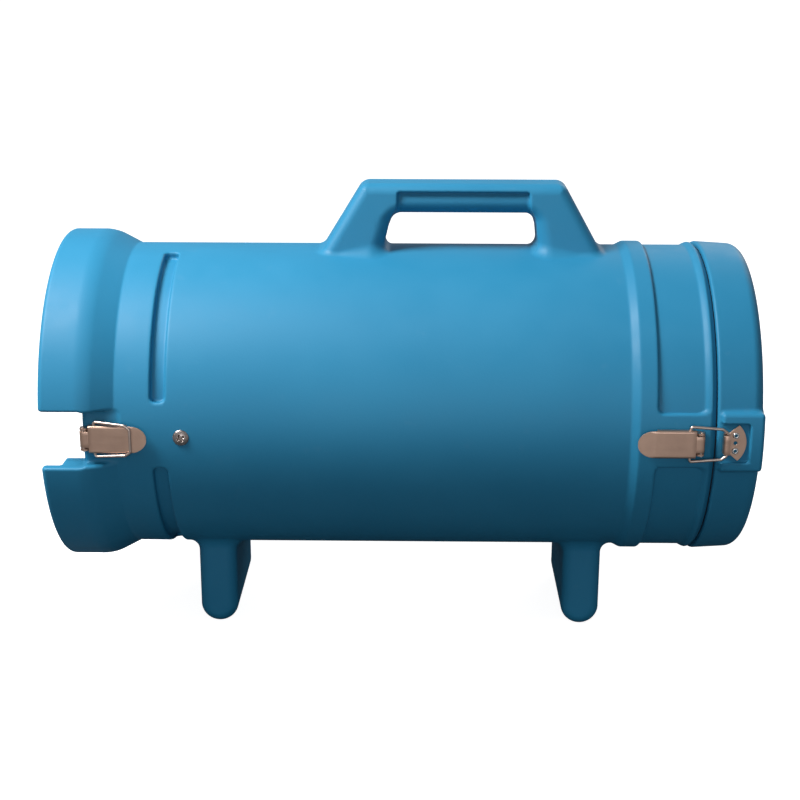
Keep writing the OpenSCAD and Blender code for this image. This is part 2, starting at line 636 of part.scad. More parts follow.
module inlet_contacts() color(STEEL) for (p = [[-7, -2], [0, 2], [7, -2]])
  block([inlet_d + p[0] - 1, 121, p[1] - 2], [inlet_d + p[0] + 1, 133, p[1] + 2]);

barrel_shell();
latch_base(-1, true);  // latch_base_near_left
latch_base(1, true);  // latch_base_far_left
latch_base(-1, false);  // latch_base_near_right
latch_base(1, false);  // latch_base_far_right
latch_lever(-1, true);  // lever_near_left
latch_lever(1, true);  // lever_far_left
latch_lever(-1, false);  // lever_near_right
latch_lever(1, false);  // lever_far_right
latch_bail(-1, true);  // bail_near_left
latch_bail(1, true);  // bail_far_left
latch_bail(-1, false);  // bail_near_right
latch_bail(1, false);  // bail_far_right
latch_hinge_pins();
latch_rivets();
end_cap();
cap_gasket();
keeper(-1);  // keeper_near
keeper(1);  // keeper_far
keeper_rivets();
hose_port();
hose_port_screws();
inlet_deflector();
cradle_screws();
motor_cradle();
cradle_bush();
motor_can();
rear_bell();
front_bell();
bearing(104);  // rear_bearing
bearing(208.5);  // front_bearing
stator();
field_coils();
brush_holders();
carbon_brushes();
motor_shaft();
armature();
commutator();
diffuser();
impeller();
impeller_nut();
fan_housing();
bulkhead();
bulkhead_gasket();
bulkhead_screws();
filter_cage();
filter_stud();
filter_seal();
filter_media();
filter_end_cap();
filter_knob();
exhaust_foam();
guard_grille();
guard_screws();
switch_plate();
plate_screws();
switch_housing();
switch_rocker();
power_inlet();
inlet_contacts();
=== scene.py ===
import json
import math

import bmesh
import bpy
import numpy as np
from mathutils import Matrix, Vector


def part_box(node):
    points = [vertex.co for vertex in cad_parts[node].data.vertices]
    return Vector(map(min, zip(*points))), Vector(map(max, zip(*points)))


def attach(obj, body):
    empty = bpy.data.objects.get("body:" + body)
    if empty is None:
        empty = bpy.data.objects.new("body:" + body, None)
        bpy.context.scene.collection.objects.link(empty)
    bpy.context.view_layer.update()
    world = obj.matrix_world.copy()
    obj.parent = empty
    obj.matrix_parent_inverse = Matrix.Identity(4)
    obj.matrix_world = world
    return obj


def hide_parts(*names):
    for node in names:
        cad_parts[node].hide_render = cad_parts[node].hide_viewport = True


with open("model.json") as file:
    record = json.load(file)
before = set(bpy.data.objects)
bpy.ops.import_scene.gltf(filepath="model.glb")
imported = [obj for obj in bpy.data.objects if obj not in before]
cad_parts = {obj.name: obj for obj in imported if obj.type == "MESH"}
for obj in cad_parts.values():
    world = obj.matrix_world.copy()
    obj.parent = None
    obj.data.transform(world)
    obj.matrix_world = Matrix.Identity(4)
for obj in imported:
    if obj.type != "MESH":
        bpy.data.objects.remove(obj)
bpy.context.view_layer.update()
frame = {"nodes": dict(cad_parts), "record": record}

import openvdb
from mathutils import Matrix, Vector

MM = 0.001

# The barrel's axis, in the row frame: stations along it are measured in mm from the flared rim
SHELL_LOW, SHELL_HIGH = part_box("barrel_shell")
CAP_LOW, CAP_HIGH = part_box("end_cap")
RIM_X = SHELL_LOW[0] / MM
TOTAL = CAP_HIGH[0] / MM - RIM_X
MOUTH = SHELL_HIGH[0] / MM - RIM_X
AXIS_Z = (CAP_LOW[2] + CAP_HIGH[2]) / 2 / MM
TOP = SHELL_HIGH[2] / MM - AXIS_Z
FLOOR = SHELL_LOW[2] / MM - AXIS_Z

# ---- Signed distance shapes, in mm, with x the station and y, z measured from the axis ----


def join(a, b, r):
    """Both shapes, with a fillet of radius r where they meet."""
    u, v = np.maximum(r - a, 0), np.maximum(r - b, 0)
    return np.maximum(r, np.minimum(a, b)) - np.sqrt(u * u + v * v)


def both(a, b, r=0.01):
    """What the two shapes share, with its edge rounded to radius r."""
    return -join(-a, -b, r)


def cut(a, b, r=0.01):
    """Shape a without b, with the edge rounded to radius r."""
    return -join(-a, b, r)


def window(p, q, r):
    """A region p < 0 and q < 0 in a surface, with corners of radius r."""
    a, b = p + r, q + r
    return np.minimum(np.maximum(a, b), 0) + np.hypot(np.maximum(a, 0), np.maximum(b, 0)) - r


def line(x, z, x0, z0, x1, z1):
    """Distance to the left of the line from one point to the other."""
    length = math.hypot(x1 - x0, z1 - z0)
    return ((z1 - z0) * (x0 - x) + (x1 - x0) * (z - z0)) / length


BARREL_R = 134
FLARE_R = 146
FLARE_LEN, CONE_END = 37, 60
SOCKET_R, SOCKET_DEPTH = 136.8, 14.6
NOTCH, NOTCH_LEN = 22.5, 33.5
# The rings: where the first one's left side rises, the panel between them, where the second falls
RING_R, RING2_R = 137.3, 136.9
RISE_START, RISE_END = 482.4, 488.9
PANEL_START, PANEL_END, PANEL_R = 503.6, 541.4, 133.8
PANEL_SLOPE, PANEL_SLOPE_LEN = 1.4, 1.72
FALL_START, FALL_END, FALL_R = 546.8, 551, 133.2
LAND_HALF = 23
# The handle's outline, hand hole and grip: stations of their corners, and heights above the axis
HANDLE, HANDLE_BASE = (223, 259.5, 433, 467), 131
HANDLE_HALF, HANDLE_FLARE = 20, 0.139
HOLE, HOLE_TOP = (276.7, 286.2, 406.4, 411.4), 164.5
GRIP_AT, GRIP_HALF, GRIP_TOP = 346.5, 56.5, 6.8
GRIP_R, GRIP_IN, GRIP_Z = 22.5, 4.3, 171.5
# Inner wall: radius from one station to the next
BORE = [(-9, SOCKET_DEPTH, SOCKET_R), (0, 52, 120), (50, 61, 111), (60, 84, 128), (83, 108, 121.5),
        (107, 279, 128), (278, 286, 119), (285, 560, 128)]
FEET = (130, 455.3)
FOOT_HALF, FOOT_W = 16.75, 61
SLOT_AT, SLOT_HALF, SLOT_FLOOR = 95.5, 6, 127.5
# How far round the barrel the slots reach, in degrees above and below the latch
SLOT_UPPER, SLOT_LOWER = (12.5, 80), (-80, -12)
SLOT_UPPER_FAR = 64
CRADLE_SCREW, SCREW_HOLE_R = 114.3, 2.65
# The raised land for the switch plate: station, half length, half height, distance from the axis
PLATE_LAND = (230, 58, 29, 134.8)
# Its windows: station, half length, half height
PLATE_WINDOWS = ((210, 15, 14), (252, 14, 12))


def flare_sdf(x, r):
    cone = line(x, r, FLARE_LEN, FLARE_R, CONE_END, BARREL_R)
    return both(both(r - FLARE_R, cone, 3.5), -x, 4.5)


def rings_sdf(x, z, r):
    slope = (x - PANEL_END - PANEL_SLOPE * (r - PANEL_R)) / PANEL_SLOPE_LEN
    panel = window(np.maximum(PANEL_START - x, slope), LAND_HALF - np.abs(z), 5)
    level = RING_R + (RING2_R - RING_R) * np.clip((x - 512) / 24, 0, 1)
    rise = line(x, r, RISE_START, BARREL_R, RISE_END, RING_R)
    fall = line(x, r, FALL_START, RING2_R, FALL_END, FALL_R)
    return both(both(both(r - level, -panel, 1.8), rise, 0.4), fall, 0.6)


def handle_sdf(x, y, z):
    """The handle without its hole. In the recess, the grip is a rounded bar."""
    ay = np.abs(y)
    side = np.maximum(line(x, z, HANDLE[0], HANDLE_BASE, HANDLE[1], TOP),
                      line(x, z, HANDLE[2], TOP, HANDLE[3], HANDLE_BASE))
    body = both(side, z - TOP, 5)
    body = np.maximum(both(body, ay - HANDLE_HALF - (TOP - z) * HANDLE_FLARE, 9), 95 - z)
    grip = GRIP_R - np.hypot(ay + GRIP_IN, z - GRIP_Z)
    recess = both(both(np.abs(x - GRIP_AT) - GRIP_HALF, grip, 2.5), z - TOP + GRIP_TOP, 2)
    return cut(body, recess, 2.2)


def hand_hole_sdf(x, z):
    left = line(x, z, HOLE[0], BARREL_R, HOLE[1], HOLE_TOP)
    right = line(x, z, HOLE[2], HOLE_TOP, HOLE[3], BARREL_R)
    return both(both(np.maximum(left, right), z - HOLE_TOP, 6), 100 - z)


def foot_sdf(x, y, z, station):
    centre = FLOOR + FOOT_HALF - 0.8
    plate = np.hypot(x - station, np.minimum(z - centre, 0)) - FOOT_HALF
    plate = both(plate, np.abs(y) - FOOT_W, 10)
    return np.maximum(np.maximum(plate, z + 70), FLOOR - z)


def slots_sdf(x, y, z, r):
    """The arc-shaped recesses behind the flare, above and below the latch on each side."""
    angle = np.degrees(np.arctan2(z, np.abs(y)))
    low = np.where(angle > 0, SLOT_UPPER[0], SLOT_LOWER[0])
    high = np.where(angle > 0, np.where(y < 0, SLOT_UPPER[1], SLOT_UPPER_FAR), SLOT_LOWER[1])
    along = (np.abs(angle - (low + high) / 2) - (high - low) / 2) * math.radians(BARREL_R)
    return both(window(np.abs(x - SLOT_AT) - SLOT_HALF, along, 4.5), SLOT_FLOOR - r, 2.5)


def notch_sdf(x, y, z, r):
    """The notch through the flare's wall, and the channel behind it down to the barrel."""
    side = np.maximum(np.abs(z) - NOTCH, 100 - np.abs(y))
    through = both(side, x - NOTCH_LEN, 1.5)
    channel = both(both(side, x - CONE_END - 4, 4), BARREL_R - 0.1 - r, 3)
    return through, channel


def shell_sdf(x, y, z):
    r = np.hypot(y, z)
    body = join(r - BARREL_R, flare_sdf(x, r), 0.3)
    body = np.maximum(body, -x)
    through, channel = notch_sdf(x, y, z, r)
    body = join(body, rings_sdf(x, z, r), 0.5)
    # The fillet at the handle's foot is small at its two ends and large along the middle
    fillet = np.interp(x, (240, 268, 418, 446), (4, 10, 10, 4))
    body = join(body, cut(handle_sdf(x, y, z), hand_hole_sdf(x, z), 13), fillet)
    for station in FEET:
        body = join(body, foot_sdf(x, y, z, station), 8)
    station, half_x, half_z, face = PLATE_LAND
    land = both(both(np.abs(x - station) - half_x, np.abs(z) - half_z, 6), y - face, 1)
    body = join(body, np.maximum(land, 100 - y), 2)
    body = both(body, x - MOUTH, 1.5)
    body = cut(body, channel, 3)
    bore = np.full_like(r, 1e3)
    for start, end, radius in BORE:
        bore = join(bore, both(both(start - x, r - radius, 2.4), x - end, 2.4), 2.4)
    body = cut(body, bore, 1.8)
    body = cut(body, through, 4)
    body = cut(body, slots_sdf(x, y, z, r), 2)
    for station, half_x, half_z in PLATE_WINDOWS:
        hole = np.maximum(np.maximum(np.abs(x - station) - half_x, np.abs(z) - half_z), 90 - y)
        body = cut(body, hole)
    screw = np.hypot(x - CRADLE_SCREW, z) - SCREW_HOLE_R
    return cut(body, np.maximum(screw, 100 - np.abs(y)))


CAP_R, CAP_TAPER = 137.4, 0.06
BOSS_R, BOSS_HALF = 142, 25
KEEPER_RECESS_HALF, KEEPER_RECESS_END, KEEPER_FACE = 16.5, 577.6, 137.4
DISH_R, DISH_DEPTH = 97, 4
HOLLOW_R, FACE_THICKNESS = 120.8, 10
SPIGOT_R, SPIGOT_HALF, SPIGOT_START = 124.1, 3.3, 540
PORT_BOSS_R, PORT_BOSS_START, PORT_BORE_R = 46, 570, 30.2
GROOVE_R, GROOVE_HALF, GROOVE_DEPTH = 131, 1.5, 3.2


def cap_sdf(x, y, z):
    r = np.hypot(y, z)
    ay, az = np.abs(y), np.abs(z)
    start, end = MOUTH + 0.6, TOTAL
    body = both(both(r - CAP_R + (x - start) * CAP_TAPER, x - end, 9), start - x, 2.2)
    boss = both(both(both(az - BOSS_HALF, r - BOSS_R, 3), start + 3 - x, 3), x - end + 0.6, 3)
    body = join(body, np.maximum(boss, 100 - ay), 3)
    keeper_recess = both(both(az - KEEPER_RECESS_HALF, x - KEEPER_RECESS_END, 2.5),
                         KEEPER_FACE - ay, 0.8)
    body = cut(body, keeper_recess, 1.5)
    # The outer face is dished, and the cap is hollow behind it
    body = cut(body, both(r - DISH_R, end - DISH_DEPTH - x, 2), 3)
    body = cut(body, both(r - HOLLOW_R, x - end + FACE_THICKNESS, 4))
    spigot = np.maximum(np.maximum(np.abs(r - SPIGOT_R) - SPIGOT_HALF, SPIGOT_START - x),
                        x - end + 6)
    body = join(body, both(spigot, SPIGOT_START - x, 1), 0.5)
    port = np.maximum(np.maximum(r - PORT_BOSS_R, PORT_BOSS_START - x), x - end + 6)
    body = join(body, port, 1)
    body = np.maximum(body, x - end)
    groove = np.maximum(np.abs(r - GROOVE_R) - GROOVE_HALF, x - start - GROOVE_DEPTH)
    return cut(cut(body, groove), r - PORT_BORE_R)


def sample(fn, low, high, step):
    """The shape's distances on a grid. Only blocks near its surface are worked out in full."""
    block = 8
    blocks = np.ceil((np.array(high) - low) / (step * block)).astype(int)
    near_r = block * step * 0.9 + 3
    middle = [low[a] + (np.arange(blocks[a]) * block + (block - 1) / 2) * step for a in range(3)]
    coarse = fn(*np.meshgrid(*middle, indexing="ij"))
    values = np.empty((*blocks, block, block, block), np.float32)
    values[...] = np.clip(coarse, -3 * step, 3 * step)[..., None, None, None]
    near = np.argwhere(np.abs(coarse) < near_r)
    offsets = np.arange(block) * step
    for chunk in np.array_split(near, max(1, len(near) // 2000)):
        base = np.array(low) + chunk * block * step
        x = (base[:, 0, None] + offsets)[:, :, None, None]
        y = (base[:, 1, None] + offsets)[:, None, :, None]
        z = (base[:, 2, None] + offsets)[:, None, None, :]
        x, y, z = np.broadcast_arrays(x, y, z)
        values[tuple(chunk.T)] = fn(x, y, z)
    return values.transpose(0, 3, 1, 4, 2, 5).reshape(blocks * block)


def gradient(fn, points, reach):
    """The slope of the shape's distance at each point."""
    p = [points[:, a] for a in range(3)]
    out = np.empty_like(points)
    for a in range(3):
        ahead, behind = list(p), list(p)
        ahead[a], behind[a] = p[a] + reach, p[a] - reach
        out[:, a] = (fn(*ahead) - fn(*behind)) / (2 * reach)
    return out


def carve(name, fn, low, high, step, flatten):
    """A mesh of the shape: sampled on a grid, then each point is moved onto the true surface."""
    grid = openvdb.FloatGrid(3 * step)
    grid.copyFromArray(np.ascontiguousarray(sample(fn, low, high, step)))
    points, tris, quads = grid.convertToPolygons(isovalue=0.0, adaptivity=flatten)
    points = np.array(points, np.float64) * step + low
    for _ in range(4):
        slope = gradient(fn, points, 0.05)
        size = np.maximum((slope ** 2).sum(1), 0.2)
        move = (fn(*points.T) / size)[:, None] * slope
        points -= np.clip(move, -0.4 * step, 0.4 * step)
    normals = gradient(fn, points, 0.35)
    normals /= np.maximum(np.linalg.norm(normals, axis=1), 1e-6)[:, None]
    loops = np.concatenate([np.array(tris, int).ravel(), np.array(quads, int).ravel()])
    sizes = np.concatenate([np.full(len(tris), 3), np.full(len(quads), 4)])
    starts = np.concatenate([[0], np.cumsum(sizes)[:-1]])
    a, b, c = (points[loops[starts + k]] for k in range(3))
    facing = (np.cross(b - a, c - a) * normals[loops[starts]]).sum(1)
    if np.median(facing) < 0:
        order = np.concatenate([np.arange(s + n - 1, s - 1, -1) for s, n in zip(starts, sizes)])
        loops = loops[order]
    points[:, 0] += RIM_X
    points[:, 2] += AXIS_Z
    mesh = bpy.data.meshes.new(name)
    mesh.vertices.add(len(points))
    mesh.loops.add(len(loops))
    mesh.polygons.add(len(sizes))
    mesh.vertices.foreach_set("co", (points * MM).ravel())
    mesh.loops.foreach_set("vertex_index", loops)
    mesh.polygons.foreach_set("loop_start", starts)
    mesh.update(calc_edges=True)
    mesh.polygons.foreach_set("use_smooth", np.ones(len(sizes), bool))
    mesh.validate()
    mesh.normals_split_custom_set_from_vertices(normals[:len(mesh.vertices)])
    piece = bpy.data.objects.new(name, mesh)
    bpy.context.collection.objects.link(piece)
    return piece


def material(name, base, second, rough, metallic=0.0, mottle=18, grain=900, bump=0.05, scuff=0.0,
             stretch=(1, 1, 1), rough_spread=0.1, **more):
    """A procedural finish: mottled colour, uneven gloss, fine relief, and pale scuffs if asked."""
    mat = bpy.data.materials.new(name)
    mat.use_nodes = True
    nodes, links = mat.node_tree.nodes, mat.node_tree.links
    shader = nodes["Principled BSDF"]
    shader.inputs["Metallic"].default_value = metallic
    for key, value in more.items():
        shader.inputs[key.replace("_", " ")].default_value = value
    coord = nodes.new("ShaderNodeTexCoord").outputs["Object"]

    def noise(scale, detail=4, stretched=False):
        place = coord
        if stretched:
            mapping = nodes.new("ShaderNodeMapping")
            mapping.inputs["Scale"].default_value = stretch
            links.new(coord, mapping.inputs["Vector"])
            place = mapping.outputs["Vector"]
        tex = nodes.new("ShaderNodeTexNoise")
        tex.inputs["Scale"].default_value = scale
        tex.inputs["Detail"].default_value = detail
        links.new(place, tex.inputs["Vector"])
        return tex.outputs["Fac"]

    def spread(value, low, high, start=0.3, end=0.7):
        node = nodes.new("ShaderNodeMapRange")
        node.inputs["From Min"].default_value, node.inputs["From Max"].default_value = start, end
        node.inputs["To Min"].default_value, node.inputs["To Max"].default_value = low, high
        links.new(value, node.inputs["Value"])
        return node.outputs["Result"]

    def mix(amount, first, other):
        node = nodes.new("ShaderNodeMix")
        node.data_type = "RGBA"
        for socket, value in zip((node.inputs[6], node.inputs[7]), (first, other)):
            if isinstance(value, tuple):
                socket.default_value = (*value, 1)
            else:
                links.new(value, socket)
        links.new(amount, node.inputs[0])
        return node.outputs[2]

    fine = noise(grain, 3, stretched=True)
    colour = mix(spread(noise(mottle, 5), 0, 1), base, second)
    gloss = spread(noise(mottle * 4, 6, stretched=True), rough - rough_spread, rough + rough_spread)
    if scuff:
        marks = spread(noise(70, 8, stretched=True), 0, scuff, 0.66, 0.74)
        paler = tuple(min(1, 0.5 * c + 0.3) for c in base)
        colour = mix(marks, colour, paler)
    links.new(colour, shader.inputs["Base Color"])
    links.new(gloss, shader.inputs["Roughness"])
    dents = nodes.new("ShaderNodeBump")
    dents.inputs["Strength"].default_value = bump
    dents.inputs["Distance"].default_value = 0.0005
    links.new(fine, dents.inputs["Height"])
    links.new(dents.outputs["Normal"], shader.inputs["Normal"])
    return mat


PLASTIC = material("blue_polyethylene", (0.0165, 0.186, 0.334), (0.0205, 0.204, 0.360), 0.52,
                   mottle=9, grain=700, bump=0.12, scuff=0.02, rough_spread=0.06,
                   Specular_IOR_Level=0.3)
STAINLESS = material("satin_stainless", (0.67, 0.45, 0.342), (0.575, 0.38, 0.29), 0.36, 1.0,
                     mottle=60, grain=1500, bump=0.12, stretch=(0.08, 1, 1), rough_spread=0.06)
BRIGHT = material("bright_rivet_steel", (0.78, 0.77, 0.76), (0.68, 0.67, 0.66), 0.22, 1.0,
                  mottle=200, grain=3000, bump=0.08)
WIRE = material("bright_wire", (0.66, 0.53, 0.46), (0.56, 0.44, 0.38), 0.32, 1.0,
                mottle=200, grain=3000, bump=0.08, rough_spread=0.04)
SCREW = material("screw_steel", (0.50, 0.43, 0.40), (0.40, 0.34, 0.31), 0.26, 1.0,
                 mottle=250, grain=3000, bump=0.15)
FINISHES = {
    "blue_polyethylene": PLASTIC,
    "satin_stainless": STAINLESS,
    "bright_rivet_steel": BRIGHT,
    "screw_steel": SCREW,
    "black_rubber": material("black_rubber", (0.018, 0.018, 0.019), (0.028, 0.028, 0.029), 0.72,
                             mottle=40, grain=1800, bump=0.2),
    "black_plastic": material("black_plastic", (0.022, 0.022, 0.024), (0.032, 0.032, 0.035), 0.45,
                              mottle=30, grain=1400, bump=0.25, scuff=0.08),
    "cast_aluminium": material("cast_aluminium", (0.50, 0.51, 0.52), (0.40, 0.41, 0.42), 0.48, 1.0,
                               mottle=70, grain=1100, bump=0.5),
    "bearing_steel": material("bearing_steel", (0.62, 0.61, 0.60), (0.52, 0.51, 0.50), 0.25, 1.0,
                              mottle=90, grain=2200, bump=0.1, stretch=(8, 1, 1)),
    "lamination_steel": material("lamination_steel", (0.24, 0.23, 0.23), (0.17, 0.16, 0.16), 0.5,
                                 1.0, mottle=50, grain=900, bump=0.6, stretch=(6, 0.1, 0.1)),
    "copper_and_brass": material("copper_and_brass", (0.72, 0.34, 0.15), (0.58, 0.27, 0.12), 0.35,
                                 1.0, mottle=120, grain=900, bump=0.5, stretch=(0.3, 3, 3)),
    "carbon": material("carbon", (0.02, 0.02, 0.021), (0.035, 0.035, 0.036), 0.6,
                       mottle=150, grain=2500, bump=0.3),
    "pleated_paper": material("pleated_paper", (0.78, 0.76, 0.70), (0.68, 0.66, 0.60), 0.85,
                              mottle=60, grain=2600, bump=0.5),
    "red_plastic": material("red_plastic", (0.45, 0.022, 0.016), (0.36, 0.016, 0.012), 0.4,
                            mottle=60, grain=1500, bump=0.15),
    "grey_foam": material("grey_foam", (0.035, 0.036, 0.038), (0.07, 0.07, 0.073), 0.95,
                          mottle=500, grain=700, bump=1.0),
    "coated_wire": material("coated_wire", (0.05, 0.05, 0.055), (0.035, 0.035, 0.04), 0.5,
                            mottle=80, grain=1600, bump=0.3),
}
for part in frame["record"]["subparts"]:
    node = frame["nodes"][part["node"]]
    finish = FINISHES[part["material_slot"]]
    if not node.material_slots:
        node.data.materials.append(finish)
    for place in node.material_slots:
        place.material = finish

# ---- Pieces that stand for CAD nodes ----


def settle(piece, body, slot_name, *nodes):
    """Hangs the piece under its body, hides the nodes it stands for, and gives it the finish of its
    slot.
    """
    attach(piece, body)
    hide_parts(*nodes)
    piece.data.materials.clear()
    piece.data.materials.append(FINISHES[slot_name])


# Grid step in mm, and how freely flat areas may be merged into larger faces
STEP, FLATTEN = ((1.3, 0.002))
shell = carve("barrel_moulding", shell_sdf, (-4, -150, -204), (555, 150, 192), STEP, FLATTEN)
settle(shell, "barrel", "blue_polyethylene", "barrel_shell")
cap = carve("cap_moulding", cap_sdf, (536, -146, -146), (593, 146, 146), STEP, FLATTEN)
settle(cap, "end_cap", "blue_polyethylene", "end_cap")

# The latches: stations of the hinge pins, distance of their seats from the axis, the pin above
# its seat, the bail's pivot along the lever and above the pin, and the bail's length
LEFT_HINGE, RIGHT_HINGE = 35.4, 538.3
LEFT_SEAT, RIGHT_SEAT = 134.1, 137.4
PIN_H = 4.5
BAIL_U, BAIL_N = 9.2, 0.6
BAIL_REACH = 30
LEVER_HALF = 11.8
GAUGE = 1.2
# How the bails hang at rest, in degrees
LEFT_BAIL_REST, RIGHT_BAIL_REST = -8.5, 180


def place_at(station, seat, side, turned=False):
    """The matrix that puts a latch piece on its seat: x towards the tab, z outward."""
    place = Matrix.Translation(Vector((RIM_X + station, side * seat, AXIS_Z)) * MM)
    place @= Matrix.Rotation(math.pi / 2 * (1 if side < 0 else -1), 4, "X")
    if turned:
        place @= Matrix.Rotation(math.pi, 4, "Z")
    return place @ Matrix.Scale(MM, 4)


def made(name, mesh, place):
    mesh.transform(place)
    piece = bpy.data.objects.new(name, mesh)
    bpy.context.collection.objects.link(piece)
    return piece


def applied(mesh, *modifiers):
    """A mesh with modifiers applied, each given as (type, settings)."""
    temp = bpy.data.objects.new("temp", mesh)
    bpy.context.collection.objects.link(temp)
    for kind, settings in modifiers:
        added = temp.modifiers.new(kind, kind)
        for key, value in settings.items():
            setattr(added, key, value)
    graph = bpy.context.evaluated_depsgraph_get()
    result = bpy.data.meshes.new_from_object(temp.evaluated_get(graph))
    bpy.data.objects.remove(temp)
    return result


def smooth(mesh, angle=50):
    for face in mesh.polygons:
        face.use_smooth = True
    mesh.set_sharp_from_angle(angle=math.radians(angle))
    return mesh


def merged(*meshes):
    bm = bmesh.new()
    for mesh in meshes:
        bm.from_mesh(mesh)
    out = bpy.data.meshes.new("merged")
    bm.to_mesh(out)
    return out


def sheet_metal(rows, thickness=GAUGE):
    """A bent sheet from a grid of points on its middle surface. None leaves a gap."""
    bm = bmesh.new()
    grid = [[bm.verts.new(p) if p is not None else None for p in row] for row in rows]
    for a, b in zip(grid, grid[1:]):
        for k in range(len(a) - 1):
            corners = [a[k], a[k + 1], b[k + 1], b[k]]
            if all(c is not None for c in corners):
                bm.faces.new(corners)
    for vert in [v for v in bm.verts if not v.link_faces]:
        bm.verts.remove(vert)
    bmesh.ops.recalc_face_normals(bm, faces=bm.faces)
    mesh = bpy.data.meshes.new("sheet")
    bm.to_mesh(mesh)
    mesh = applied(mesh, ("SOLIDIFY", {"thickness": thickness, "offset": 0}),
                   ("BEVEL", {"width": 0.22, "segments": 2, "limit_method": "ANGLE",
                              "angle_limit": math.radians(40)}))
    return smooth(mesh)


def tube_mesh(points, radius, bend, sides=14):
    """A round wire along points, with its corners bent to a radius."""
    path = [Vector(points[0])]
    for a, b, c in zip(points, points[1:], points[2:]):
        a, b, c = Vector(a), Vector(b), Vector(c)
        u, v = (a - b).normalized(), (c - b).normalized()
        half = u.angle(v) / 2
        back = min(bend / math.tan(half), 0.45 * (a - b).length, 0.45 * (c - b).length)
        start, end = b + u * back, b + v * back
        centre = b + (u + v).normalized() * (back / math.cos(half))
        arm, last = start - centre, end - centre
        turn = arm.angle(last)
        axis = arm.cross(last).normalized()
        for k in range(9):
            path.append(centre + Matrix.Rotation(turn * k / 8, 3, axis) @ arm)
    path.append(Vector(points[-1]))
    bm = bmesh.new()
    rings = []
    side = None
    for k, p in enumerate(path):
        along = (path[min(k + 1, len(path) - 1)] - path[max(k - 1, 0)]).normalized()
        if side is None:
            side = along.orthogonal().normalized()
        side = (side - along * side.dot(along)).normalized()
        other = along.cross(side)
        rings.append([bm.verts.new(p + radius * (side * math.cos(t) + other * math.sin(t)))
                      for t in (2 * math.pi * s / sides for s in range(sides))])
    for a, b in zip(rings, rings[1:]):
        for s in range(sides):
            bm.faces.new([a[s], a[(s + 1) % sides], b[(s + 1) % sides], b[s]])
    bm.faces.new(rings[0][::-1])
    bm.faces.new(rings[-1])
    bmesh.ops.recalc_face_normals(bm, faces=bm.faces)
    mesh = bpy.data.meshes.new("wire")
    bm.to_mesh(mesh)
    return smooth(mesh)


def lathe(profile, sides=40):
    """A turned piece about z from (radius, height) points."""
    bm = bmesh.new()
    rings = []
    for radius, height in profile:
        if radius < 1e-6:
            rings.append([bm.verts.new((0, 0, height))])
        else:
            rings.append([bm.verts.new((radius * math.cos(t), radius * math.sin(t), height))
                          for t in (2 * math.pi * s / sides for s in range(sides))])
    for a, b in zip(rings, rings[1:]):
        for s in range(sides):
            corners = [a[s % len(a)], a[(s + 1) % len(a)], b[(s + 1) % len(b)], b[s % len(b)]]
            unique = list(dict.fromkeys(corners))
            if len(unique) > 2:
                bm.faces.new(unique)
    bmesh.ops.recalc_face_normals(bm, faces=bm.faces)
    mesh = bpy.data.meshes.new("turned")
    bm.to_mesh(mesh)
    return smooth(mesh)


def flat_plate(loops, low, thickness, edge=0.25):
    """A flat plate with bevelled edges. The first loop is its outline, the rest are holes."""
    curve = bpy.data.curves.new("plate", "CURVE")
    curve.dimensions = "2D"
    curve.fill_mode = "BOTH"
    curve.extrude = thickness / 2 - edge
    curve.bevel_depth = edge
    curve.bevel_resolution = 2
    curve.offset = -edge
    for loop in loops:
        spline = curve.splines.new("POLY")
        spline.points.add(len(loop) - 1)
        for point, at in zip(spline.points, loop):
            point.co = (*at, 0, 1)
        spline.use_cyclic_u = True
    holder = bpy.data.objects.new("plate", curve)
    bpy.context.collection.objects.link(holder)
    graph = bpy.context.evaluated_depsgraph_get()
    mesh = bpy.data.meshes.new_from_object(holder.evaluated_get(graph))
    bpy.data.objects.remove(holder)
    mesh.transform(Matrix.Translation((0, 0, low + thickness / 2)))
    return smooth(mesh, 40)


def circle(cx, cy, radius, count=28):
    return [(cx + radius * math.cos(2 * math.pi * k / count),
             cy + radius * math.sin(2 * math.pi * k / count)) for k in range(count)]


def lever_mesh():
    """The lever, about its hinge pin: rolled end, channel with two flanges, and rounded tab."""
    half = LEVER_HALF - GAUGE / 2
    top, corner = 2.2, 1.1
    roll_half = 7.5
    tab_start, tab_len = 38.6, 12.8
    flat = [-9.5, -7.0, -3.5, 0, 3.5, 7.0, 9.5]

    def across(u, full):
        """One row of points across the lever. Unless it is full, only the roll's width."""
        row = []
        bend = [(half, -1.4), (half, 0.2)] + [
            (half - corner * (1 - math.sin(t)), top - corner * (1 - math.cos(t)))
            for t in (math.radians(60), math.radians(30))] + [(half - corner, top)]
        left = [(-y, z) for y, z in bend]
        for y, z in left + [(y, top) for y in flat] + bend[::-1]:
            row.append((u, y, z) if full or abs(y) < roll_half else None)
        return row

    rows = []
    count = len(across(0, True))
    for k in range(15):
        t = math.radians(-170 + 260 * k / 14)
        u, z = -top * math.cos(t), top * math.sin(t)
        rows.append([(u, p[1], z) if p is not None else None for p in across(0, False)])
    rows += [across(u, False) for u in (1.8, 3.9, 4.6)]
    body = [across(u, True) for u in (4.6, 8, 14, 22, 30, 36)]
    # The flanges end at the crease before the tab
    crease = [None, None, *across(38.2, True)[2:-2], None, None]
    tab = []
    for k in range(1, 13):
        u = tab_start + tab_len * math.sin(math.radians(90 * k / 12))
        reach = math.sqrt(max(0.0, 1 - ((u - tab_start) / 13.0) ** 2))
        row = [None] * count
        for n, p in enumerate(across(u, True)):
            if p is not None and 2 <= n < count - 2:
                wide = max(-half, min(half, p[1] * (half / (half - 0.15))))
                row[n] = (u, wide * reach, top - 0.5 - 0.07 * (u - tab_start))
        tab.append(row)
    return merged(sheet_metal(rows), sheet_metal(body + [crease] + tab))


